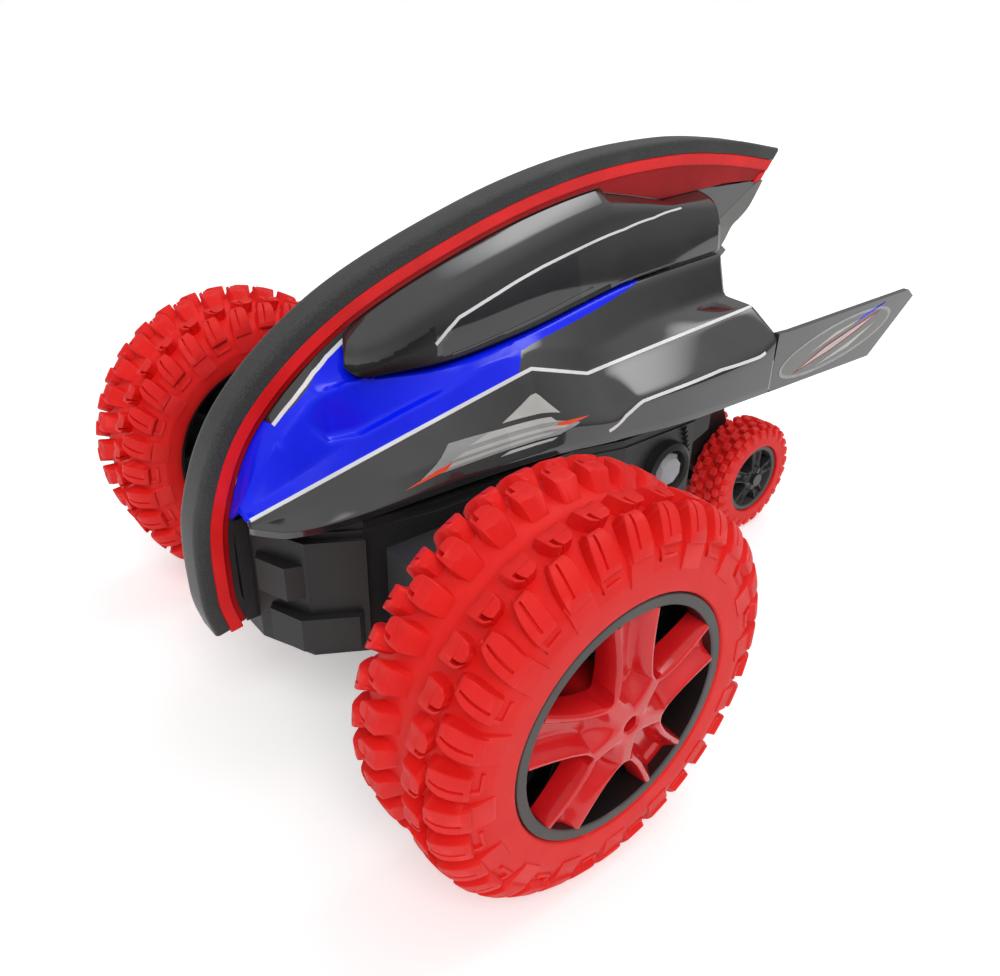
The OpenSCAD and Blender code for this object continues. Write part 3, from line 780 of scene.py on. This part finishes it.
def build_shell(prefix):
    """A half shell: black, with the blue field cut into its mesh."""
    ys = shell_stations()
    above, field, below = SHELL_CELLS
    rows = []
    for y in ys:
        top, low = (blue_top(y), blue_low(y)) if y < BLUE_TIP else (0.95, 0.95)
        vs = [*np.linspace(0, top, above + 1)[:-1], *np.linspace(top, low, field + 1)[:-1],
              *np.linspace(low, 6.0, below + 1)]
        rows.append([shell_at(y, v) for v in vs])
    pile = Pile().sheet(rows)
    across = [0] * above + [1] * field + [0] * below
    indices = [k if y < BLUE_TIP else 0 for y in ys[:-1] for k in across]
    obj = add_mesh(prefix + "_shell_skin", pile, [M_BLACK, M_BLUE], angle=42, indices=indices)
    thicken(obj)
    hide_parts(prefix + "_shell")


def trace(surface, points, v0, v1):
    """The (y, v) places of (y, z) points on a surface."""
    return [(y, find_v(surface, y, z, v0, v1)) for y, z in points]


def build_shell_lines(prefix):
    """White lines on the half shell and the canopy."""
    pile = Pile()
    crease = [(-53, 3.0), (0, 3.0), (46, 3.0), (70, 3.0), (149.5, 3.0)]
    pile.loft(ribbon(shell_at, crease, 1.25))
    flank = [(68.5, 94.5), (75, 98.8), (82, 102.7), (100, 104.4), (120, 105.8), (144, 107.4)]
    pile.loft(ribbon(shell_at, trace(shell_at, flank, 3.3, 5.0), 1.15))
    nose = [(-37.5, 113.2), (-34, 116.4), (-30, 119.7), (-26, 122.8), (-22, 125.6), (-17, 129), (-10.5, 133)]
    pile.loft(ribbon(shell_at, trace(shell_at, nose, 0.0, 1.0), 1.3))
    cap = [(16, 128.9), (20.5, 132.2), (25.5, 135.5), (42, 140.6), (60.7, 145.6), (80, 149.2), (100, 152),
           (116, 153.8), (131, 155.2)]
    pile.loft(ribbon(cap_at, trace(cap_at, cap, 0.3, 5.6), lambda t: 1.1 * (1 - 0.35 * t)))
    add_mesh(prefix + "_lines", pile, M_WHITE, angle=30)


def build_graphics(prefix):
    """Plain streaks and slivers on the flank. Each is a height and corners of (y, share up the panel)."""
    graphics = {
        "light": (M_DECAL, [
            (0.24, (0, 0.33), (46, 0.37), (50, 0.44), (6, 0.42)),
            (0.24, (8, 0.49), (52, 0.5), (54, 0.56), (14, 0.58)),
            (0.24, (16, 0.65), (50, 0.62), (48, 0.68), (24, 0.73)),
            (0.16, (30, 0.78), (52, 0.72), (45, 0.96), (43, 0.96)),
            (0.22, (26, 0.17), (47, 0.2), (49, 0.26), (30, 0.25))]),
        "dark": (M_SILVER, [(0.12, (-3, 0.26), (50, 0.32), (58, 0.6), (10, 0.8))]),
        "orange": (M_ORANGE, [
            (0.26, (-9, 0.14), (6, 0.3), (9, 0.45), (3, 0.38)),
            (0.26, (47, 0.4), (49, 0.5), (62, 0.68), (50, 0.6))]),
    }
    for name, (material, slivers) in graphics.items():
        pile = Pile()
        for top, *corners in slivers:
            patch(pile, shell_at, [(y, 4.9 - 1.55 * t) for y, t in corners], top)
        add_mesh(f"{prefix}_graphic_{name}", pile, material, angle=40)


# ---- canopies


def build_canopy(prefix):
    """A canopy half with its smoked window, its black lower band and the seam between them."""
    ys = [-9, -8.8, -8.3, -7.5, -6.6, -5.6, -4.5, -3.4, -2.2, -1]
    ys += [0.5 + 2 * i for i in range(75)] + [150]
    columns = 43
    rows = []
    for y in ys:
        close = math.sqrt(max(0.0, min(1.0, (y + 9.0) / 3.0)))
        centre = np.array((SIDE_X, cap_at(y, 3.5)[1], 128.0))
        row = [centre + (cap_at(y, v) - centre) * (0.82 + 0.18 * close) for v in np.linspace(0, 6, columns)]
        rows.append([(max(q[0], SIDE_X), q[1], q[2]) for q in row])
    pile = Pile().sheet(rows)
    pile.faces.append(tuple(range(columns)))
    obj = add_mesh(prefix + "_canopy_skin", pile, [M_BLACK, M_WINDOW, M_BAND], angle=40)
    for face in obj.data.polygons:
        _, y, z = np.array(face.center) / MM
        y -= AXLE_Y
        line = float(np.interp(y, [16, 25.5, 60.7, 100, 131], [126, 135, 145, 151.4, 154.6]))
        seam = CAP_BASE_Z(y) + 2.6
        if 18 < y < 76 and seam < z < line:
            face.material_index = 1
        elif y < 90 and z < min(seam, line) or y < 16 and z < CAP_EDGE_Z(y) - 1.5:
            face.material_index = 2
    thicken(obj)
    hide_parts(prefix + "_canopy")
    pile = Pile()
    rim = [(22, CAP_BASE_Z(22) + 2.4)] + [(y, CAP_BASE_Z(y) + 2.6 + 0.02 * (y - 22)) for y in (34, 46, 58, 70, 82)]
    pile.loft(ribbon(cap_at, trace(cap_at, rim, 3.0, 6.0), 0.5, 0.22))
    add_mesh(prefix + "_canopy_seam", pile, M_BLACK)


for side in SIDES:
    build_shell(side)
    build_canopy(side)
    build_shell_lines(side)
    build_graphics(side)

# ---- fin: foam, rail and spine

TAIL_TIP, TAIL_LOW = FIN[-1], np.array((188.0, 158.2))


def trimmed(d):
    """The fin's outline moved in by d, cut off along the tail's rear edge."""
    curve = moved(FIN, d)
    ahead = FIN[-1] - FIN[-2]
    ahead /= np.linalg.norm(ahead)
    down = TAIL_LOW - TAIL_TIP
    out = np.array((-down[1], down[0])) / np.linalg.norm(down)
    for i, p in enumerate(curve):
        beyond = out.dot(p - TAIL_TIP)
        if beyond > 0 and p[0] > 150:
            curve[i] = p - ahead * beyond / out.dot(ahead)
    return curve


def fin_section(corners):
    """Rings of a closed section swept along the fin; each corner is (x, depth from the foam's face)."""
    curves = [trimmed(d) for _, d in corners]
    return [[(x, *curves[k][i]) for k, (x, _) in enumerate(corners)] for i in range(len(FIN))]


def plates(near, far, half):
    """Rings of a plate, half to each side of the middle, between two rows of (y, z) points."""
    return [[(-half, *p), (-half, *q), (half, *q), (half, *p)] for p, q in zip(near, far)]


def build_foam():
    pile = Pile()
    edge = [(6.0, FOAM_DEPTH), (6.0, 1.3), (5.65, 0.5), (4.9, 0.05), (3.6, 0.0)]
    pile.loft(fin_section([(-x, d) for x, d in edge] + edge[::-1]))
    obj = add_mesh("foam_skin", pile, M_FOAM, angle=40)
    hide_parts("foam_strip")


def build_rail():
    """Raised bright band under the foam, and the recessed panel behind the canopy."""
    pile = Pile()
    a, b = FOAM_DEPTH + 0.05, 9.2
    edge = [(5.6, a), (5.95, a + 0.3), (5.95, b - 0.4), (5.6, b)]
    rings = fin_section([(-x, d) for x, d in edge] + edge[::-1])
    low = [tuple(2 * np.array(p) - np.array(q)) for p, q in zip(rings[0], rings[2])]
    pile.loft([low] + rings)
    # the band turns down the tail's rear edge
    top, end = trimmed(b)[-1], TAIL_LOW
    rings = []
    for t in np.linspace(0, 1, 9):
        p = top + (end - top) * t
        q = p + np.array((-4.4, -0.6))
        edge = [(5.6, *p), (5.95, p[0] - 0.4, p[1]), (5.95, q[0] + 0.4, q[1]), (5.6, *q)]
        rings.append([(-x, y, z) for x, y, z in edge] + edge[::-1])
    pile.loft(rings)
    band = add_mesh("rail_band", pile, M_RED, angle=30)
    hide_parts("fin_rail")
    pile = Pile()
    far = [(min(q[0], TAIL_LOW[0]), crest_z(q[0])) if q[0] > 60 else q for q in trimmed(FOAM_DEPTH + RAIL_DEPTH)]
    pile.loft(plates(trimmed(8.0), far, 5.4))
    add_mesh("rail_panel", pile, M_RED_DEEP, angle=30)
    pile = Pile()
    near, far = moved(FIN, 9.0), moved(FIN, 13.0)
    foot = near[:, 1] < 96
    pile.loft(plates(near[foot], far[foot], 4.8))
    add_mesh("rail_root", pile, M_MATT, angle=30)


def build_spine():
    """The centre plate that carries the fin, with its flared silver tail."""
    pile = Pile()
    ys = [float(v) for v in np.linspace(-47.5, 149, 80)]
    pile.loft(plates([(y, 92.0) for y in ys], [(y, crest_z(y) - 0.05) for y in ys], 5))
    # tail blade: rows from its lower front corner to the rear edge
    rear = spline([(188, 158), (182, 149), (172, 142), (166, 134), (149, 124)], 8)
    front = spline([(149, 158.4), (149, 150), (149, 142), (149, 133), (149, 124)], 8)
    pile.loft(plates(front, rear, 5))
    spine = add_mesh("spine_skin", pile, M_BLACK, angle=30)
    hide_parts("body_spine")
    pile = Pile()
    edge = spline([(186.2, 157.6), (178, 152.5), (168, 146.8), (159.5, 141.5), (153.5, 133), (149.6, 124.4)], 8)
    rear = spline([(188.2, 158.2), (182.2, 149.2), (177, 145), (172.2, 142), (166, 134), (149.8, 124)], 8)
    for s in (-1, 1):
        pile.loft([[(s * 4.6, *p), (s * 5.1, *p), (s * 6.6, *q), (s * 4.6, *q)] for p, q in zip(edge, rear)])
    add_mesh("spine_flare", pile, M_SILVERGREY, angle=30)


build_foam()
build_rail()
build_spine()

# ---- rims, spokes and hubs

HUB_R = 13.5  # where the spokes part
SPOKE_END = 34


def turned_piece(name, outline, y0, z0, steps, pick, body):
    """A rim turned about an axle from (radius, x) corners; pick(radius, x) says which corners are grey."""
    pile = Pile()
    revolve(pile, [(x, r) for r, x in outline], steps, y0, z0)
    indices = [0 if pick(r, x) else 1 for _ in range(steps) for r, x in outline[:-1]]
    return add_mesh(name, pile, [M_RIM, M_DISH], body, 30.0, indices)


def spoke_star(pile, y0, z0, turn, k, x_hub, fall, depth, floor_x):
    """A star of five trough-backed spokes as one skin. k is its size, x_hub, fall, depth and floor_x
    are the height of the hub, how far the spokes fall and sink below it, and where their walls end."""
    half_turn = math.pi / 5
    w0 = HUB_R * math.sin(half_turn)
    widths = [(HUB_R, 0), (13.8, -0.45), (14.4, -0.75), (15.5, -1.0), (18, -1.25), (21, -1.35), (26, -1.0),
              (30, -0.5), (SPOKE_END, 0.15)]
    wr, ww = np.array([(r, w0 + extra) for r, extra in widths]).T
    radii = [2.3, *range(3, 13), 12.8, 13.5, 13.65, 13.8, 14.1, 14.4, 14.9, 15.5, 16.5, 18, 19.5, 21, 22.5, 24, 26,
             28, 29.5, 30.3, 31, 31.8, 32.6, 33.3, 34]

    def at(x, r, a):
        return (x, y0 + r * math.cos(a), z0 + r * math.sin(a))

    for i in range(5):
        middle = math.radians(turn) + i * 2 * half_turn
        rows, walls = [], ([], [])
        for r in radii:
            w = r * math.sin(half_turn) if r <= HUB_R else float(np.interp(r, wr, ww))
            reach = half_turn if r <= HUB_R else math.asin(w / r)
            sunk = depth * smooth_step(4.0, 13, r) - 0.3 * depth * smooth_step(29, SPOKE_END, r)
            hub_round = 0.9 * max(0.0, 1 - (r - 2.3) / 1.2) ** 2
            row = []
            for a in np.linspace(-1, 1, 31):
                inwards = w - abs(r * math.sin(a * reach))
                top = x_hub - fall * (r / SPOKE_END) ** 1.6
                edge = 0.9 * max(0.0, 1 - inwards / 1.2) ** 2 * smooth_step(HUB_R - 1, HUB_R + 3, r)
                x = top - sunk * smooth_step(1.2, 5.0, inwards) - edge - hub_round
                row.append((x, r * k, middle + a * reach))
            rows.append([at(*p) for p in row])
            if r >= HUB_R:
                flare = 0.02 * min(1.0, (r - HUB_R) / 3)
                for wall, (x, rad, a), sign in ((walls[0], row[0], -1), (walls[1], row[-1], 1)):
                    wall.append((at(x, rad, a), at(floor_x, rad, a + sign * flare)))
        pile.sheet(rows)
        for wall in walls:
            pile.sheet(wall)
        pile.sheet([rows[-1], [at(floor_x, rad, a) for _, rad, a in row]])


def ribs(pile, count, r_in, r_out, x0, x1, thick):
    """Thin radial plates between two radii of a big wheel."""
    for i in range(count):
        a = 2 * math.pi * i / count
        along, side = np.array((math.cos(a), math.sin(a))), np.array((-math.sin(a), math.cos(a)))
        pile.loft([[(x, *(np.array((0, WHEEL_R)) + along * r + side * s))
                    for x, s in ((x0, -thick), (x1, -thick), (x1, thick), (x0, thick))] for r in (r_in, r_out)])


def build_big_wheel(prefix):
    body = prefix + "_wheel"
    outline = [(10, 97), (34.4, 97), (34.4, 84.6), (36.2, 80.8), (39.8, 80.8), (39.8, 81.6), (37.3, 84.6),
               (37.3, 120.6), (37.1, 121.2), (34.3, 121.2), (33.9, 120.8), (33.6, 100.4), (9.5, 100.4), (9.5, 104),
               (2.6, 104), (2.6, 88), (10, 88), (10, 97)]
    rim = turned_piece(prefix + "_rim_skin", outline, 0, WHEEL_R, 128,
                       lambda r, x: x > 121 or (r > 36 and x > 84), body)
    bevel(rim, 0.25, 2, 40)
    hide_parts(prefix + "_rim")
    pile = Pile()
    ribs(pile, 20, 10.5, 33.7, 100.2, 104.5, 0.6)
    ribs(pile, 10, 9.8, 34.2, 90, 97.2, 0.8)
    add_mesh(prefix + "_rim_ribs", pile, M_DISH, body)
    pile = Pile()
    spoke_star(pile, 0, WHEEL_R, 17.5, 1.0, 123.4, 2.1, 5.0, 114.6)
    for corners in (((2.3, 114.2), (2.3, 122.6)), ((12.6, 115.2), (9.4, 112.6), (8.6, 104.2)),
                    ((13.3, 117.0), (12.9, 115.0), (2.4, 114.6))):
        pile.loft(wheel_rings(corners, 48), cap=False)
    spokes = add_mesh(prefix + "_spokes_skin", pile, M_SPOKE, body, 38)
    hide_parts(prefix + "_spokes")


def build_tail_wheel(prefix):
    body = prefix + "_tail_wheel"
    pile = Pile()
    section = spline(tyre_section(TAIL_HALF, TAIL_R, TAIL_BEAD_R, TAIL_DROP), 3)
    revolve(pile, [(TAIL_X + x, r) for x, r in section], 96, TAIL_Y, TAIL_R)
    middle, inner = (0.5, small_block(4.3, 0.33, 0.53)), (0, small_block(4.3, 0.1, 0.31))
    short, long = [[(0, small_block(3.9, 0.56, end)), middle, inner] for end in (0.88, 0.97)]
    env = Envelope(TAIL_HALF, TAIL_R, TAIL_DROP, SMALL)
    add_tread(pile, env, TAIL_X, TAIL_Y, TAIL_R, TAIL_TREAD, lambda i: long if i % 2 else short)
    tyre = add_mesh(prefix + "_tail_tyre_skin", pile, M_TYRE, body, 34)
    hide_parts(prefix + "_tail_tyre")
    outline = [(1.6, 7.6), (5, 7.6), (5, 14), (14.6, 14), (14.6, 9), (17.3, 9), (17.3, 10), (16.2, 11),
               (16.2, 24.3), (16.0, 24.6), (14.5, 24.6), (14.1, 24.2), (13.9, 17), (5, 17), (1.6, 17), (1.6, 7.6)]
    rim = turned_piece(prefix + "_tail_rim_skin", outline, TAIL_Y, TAIL_R, 96, lambda r, x: x > 24, body)
    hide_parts(prefix + "_tail_rim")
    pile = Pile()
    spoke_star(pile, TAIL_Y, TAIL_R, 16, 0.412, 25.3, 1.0, 2.2, 19.5)
    cap = ((0.95, 24.7), (0.9, 25.25), (0.5, 25.5), (0.02, 25.6))
    pile.loft(wheel_rings(cap, 32, TAIL_Y, TAIL_R), cap=False)
    add_mesh(prefix + "_tail_spokes", pile, M_RIM_GLOSS, body, 38)


for side in SIDES:
    build_big_wheel(side)
for side in SIDES:
    build_tail_wheel(side)

# ---- lamps, wings and small detail

LAMP_Y, LAMP_Z = 102.0, 69.0
BADGE_X, BADGE_Y, BADGE_Z = 50.75, 192.5, 101.6
BADGE_TILT = math.radians(5.5)
BELLY_Z = 40.2


def circle(r, x, n, y0, z0, turn=0.0):
    """A circle of points in a plane of constant x."""
    angles = [turn + 2 * math.pi * i / n for i in range(n)]
    return [(x, y0 + r * math.cos(a), z0 + r * math.sin(a)) for a in angles]


def build_lamp(prefix):
    """A faceted lens over a ribbed bright cup."""
    pile = Pile().loft([circle(r, x, 8, LAMP_Y, LAMP_Z, turn) for r, x, turn in (
        (7.1, 43.6, 0), (7.1, 45.0, 0), (5.4, 46.9, 0.39), (2.7, 47.6, 0), (0.4, 47.8, 0.39))])
    lens = add_mesh(prefix + "_lamp_lens_skin", pile, M_LENS, angle=8)
    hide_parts(prefix + "_lamp_lens")
    pile = Pile()
    cup = ((6.9, 43.5), (5.4, 41.5), (3.6, 39.6), (1.6, 38.6), (0.1, 38.4))
    pile.loft([circle(r, x, 32, LAMP_Y, LAMP_Z) for r, x in cup], cap=False)
    for i in range(12):
        a = 2 * math.pi * i / 12
        c, s = math.cos(a), math.sin(a)
        pile.loft([[(x, LAMP_Y + r * c - d * s, LAMP_Z + r * s + d * c)
                    for r, x in ((6.6, 43.3), (1.8, 39.2), (2.2, 38.8), (6.8, 42.6))] for d in (-0.25, 0.25)])
    add_mesh(prefix + "_lamp_cup", pile, M_MIRROR, angle=30)


def badge_plate(pile, outline, lift, thick):
    """A thin plate facing +X on the badge, from an outline of (y, z) points about its centre."""
    c, s = math.cos(BADGE_TILT), math.sin(BADGE_TILT)
    pile.loft([[(BADGE_X + lift + dx, BADGE_Y + (y * c - z * s), BADGE_Z + (y * s + z * c)) for y, z in outline]
               for dx in (0.0, thick)])


def oval(a, b):
    """A slanted oval of (y, z) points."""
    angles = [2 * math.pi * i / 64 for i in range(64)]
    return [(a * math.cos(t) + 0.5 * b * math.sin(t), b * math.sin(t)) for t in angles]


def build_wing_badge(prefix):
    """A plain oval plate with swept streaks fanning across it."""
    streaks = {
        "pale": (M_DECAL, [
            (0.32, (-26, -3.9), (-4, -1.8), (12, 0.9), (26, 4.2), (8, 2.2), (-8, 0.2)),
            (0.26, (-14, -6.3), (8, -5.0), (27, 0.6), (9, -2.9)),
            (0.26, (-20, 0.6), (-2, 3.2), (18, 5.4), (-2, 4.6))]),
        "blue": (M_BLUE, [(0.3, (10, 4.2), (28, 6.4), (33, 7.2), (18, 6.2))]),
        "red": (M_RED_DEEP, [(0.28, (-29, -4.6), (-4, -2.4), (14, 0.6), (30, 5.0), (10, 2.9), (-8, 0.9))]),
    }
    layers = [("rim", M_SILVER, [(0, 0.2, oval(38, 8.6))]), ("field", M_GREYBACK, [(0.02, 0.24, oval(36.2, 7.4))])]
    layers += [(part, material, [(0.05, thick, points) for thick, *points in rows])
               for part, (material, rows) in streaks.items()]
    for part, material, plates_of in layers:
        pile = Pile()
        for lift, thick, outline in plates_of:
            badge_plate(pile, outline, lift, thick)
        add_mesh(f"{prefix}_badge_{part}", pile, material)


def build_side_vents(prefix):
    """Slanted ribs on the tub's side, between the lamp and the strut."""
    pile = Pile()
    for i in range(6):
        z = 71.5 + 2.1 * i
        y = 113.5 - 0.7 * i
        pile.loft([[(43.0, y, z), (44.8, y + 0.2, z + 0.2), (44.8, y + 0.2, z + 0.9), (43.0, y, z + 1.1)],
                   [(37.0, y + 9, z + 1.2), (39.6, y + 9.4, z + 1.4), (39.6, y + 9.4, z + 2.1),
                    (37.0, y + 9, z + 2.3)]])
    bevel(add_mesh(prefix + "_side_vents", pile, M_MATT, angle=30), 0.15, 1)


def build_belly():
    """Ribs, the cover's grip and screw heads on the underside."""
    pile = Pile()
    bars = [(-12, 12, y, y + 2.4, 39.7) for y in range(64, 112, 6)]
    bars += [(s * 24, s * 26.5, 0, 48, 39.6) for s in (-1, 1)]
    for x0, x1, y0, y1, low in bars:
        pile.loft([[(x0, y, low), (x0, y, BELLY_Z), (x1, y, BELLY_Z), (x1, y, low)] for y in (y0, y1)])
    bevel(add_mesh("belly_ribs", pile, M_MATT), 0.12, 1)
    pile = Pile()
    for x in (-30, 30):
        for y in (-16, 92):
            angles = [2 * math.pi * i / 24 for i in range(24)]
            pile.loft([[(x + r * math.cos(a), y + r * math.sin(a), z) for a in angles]
                       for r, z in ((2.4, 40.1), (2.3, 39.5), (1.9, 39.3))])
    add_mesh("belly_screws", pile, M_STEEL)


for side in SIDES:
    build_lamp(side)
    build_wing_badge(side)
    build_side_vents(side)
build_belly()

for parts, width in ((["chassis_tub", "tail_strut", *both("gearbox")], 0.8), (["front_bumper"], 0.7),
                     (both("gearbox_cover"), 0.6), (both("wing"), 0.5), (["chassis_deck", "battery_cover"], 0.4)):
    for part in parts:
        bevel(NODES[part], width)

# ---- floor, light and camera

TARGET = Vector((0.0, (36.9 + AXLE_Y) * MM, 55.4 * MM))
AZIMUTH, ELEVATION, DISTANCE = math.radians(52.7), math.radians(30.2), 0.3329
LENS = 31.59
SHIFT = (0.0438, 0.0182)
GLOW_FROM = (0.038, 0.437, 0.899)
SUN_FROM = (0.7, -0.45, 0.9)
SUN_STRENGTH, SUN_ANGLE = 1.35, math.radians(36)
FLOOR_HALF = 25.0
WHITE = (1, 1, 1, 1)


def set_camera():
    back = Vector((
        math.sin(AZIMUTH) * math.cos(ELEVATION),
        -math.cos(AZIMUTH) * math.cos(ELEVATION),
        math.sin(ELEVATION)))
    camera = new_object("camera", bpy.data.cameras.new("camera"))
    camera.location = TARGET + back * DISTANCE
    camera.rotation_euler = back.to_track_quat("Z", "Y").to_euler()
    camera.data.sensor_width = 36
    camera.data.lens = LENS
    camera.data.shift_x, camera.data.shift_y = SHIFT
    camera.data.clip_start = 0.01
    bpy.context.scene.camera = camera


def set_light():
    """A white dome, dim low down, with a soft glow over the back, and a soft sun from the front left.
    The camera sees the dome as plain white."""
    world = bpy.data.worlds.new("studio")
    world.use_nodes = True
    n = Nodes(world.node_tree)
    direction = n.add("ShaderNodeTexCoord").outputs["Generated"]
    height = n.add("ShaderNodeSeparateXYZ", {"Vector": direction}).outputs["Z"]
    facing = n.add("ShaderNodeVectorMath", {0: direction, 1: GLOW_FROM}, operation="DOT_PRODUCT").outputs["Value"]
    strength = n.add("ShaderNodeMath", {0: n.ramp(height, 0.05, 0.8, 0.14, 0.6),
                                        1: n.ramp(facing, 0.955, 0.996, 0.0, 2.7)}, operation="ADD")
    dome = n.tree.nodes["Background"]
    n.feed(dome, {"Color": WHITE, "Strength": strength.outputs["Value"]})
    plain = n.add("ShaderNodeBackground", {"Color": WHITE, "Strength": 1.0})
    seen = n.add("ShaderNodeLightPath").outputs["Is Camera Ray"]
    both_skies = n.add("ShaderNodeMixShader", {"Fac": seen, 1: dome.outputs[0], 2: plain.outputs[0]})
    n.feed(n.tree.nodes["World Output"], {"Surface": both_skies.outputs[0]})
    bpy.context.scene.world = world
    sun = bpy.data.lights.new("sun", "SUN")
    sun.energy = SUN_STRENGTH
    sun.angle = SUN_ANGLE
    obj = new_object("sun", sun)
    obj.rotation_euler = Vector(SUN_FROM).to_track_quat("Z", "Y").to_euler()
    obj.visible_glossy = False


def add_floor():
    mesh = bpy.data.meshes.new("floor")
    corners = [(x * FLOOR_HALF, y * FLOOR_HALF, 0) for x, y in ((-1, -1), (1, -1), (1, 1), (-1, 1))]
    mesh.from_pydata(corners, [], [(0, 1, 2, 3)])
    floor = new_object("floor", mesh)
    f = Finish("floor_white")
    seen = f.add("ShaderNodeLightPath").outputs["Is Camera Ray"]
    mesh.materials.append(f.done({
        "Base Color": (0.92, 0.92, 0.92, 1), "Roughness": 0.7, "Specular IOR Level": 0.2,
        "Emission Color": WHITE, "Emission Strength": f.ramp(seen, 0, 1, 0.06, 0.34)}))


bpy.context.scene.view_settings.view_transform = "Standard"
set_camera()
set_light()
add_floor()
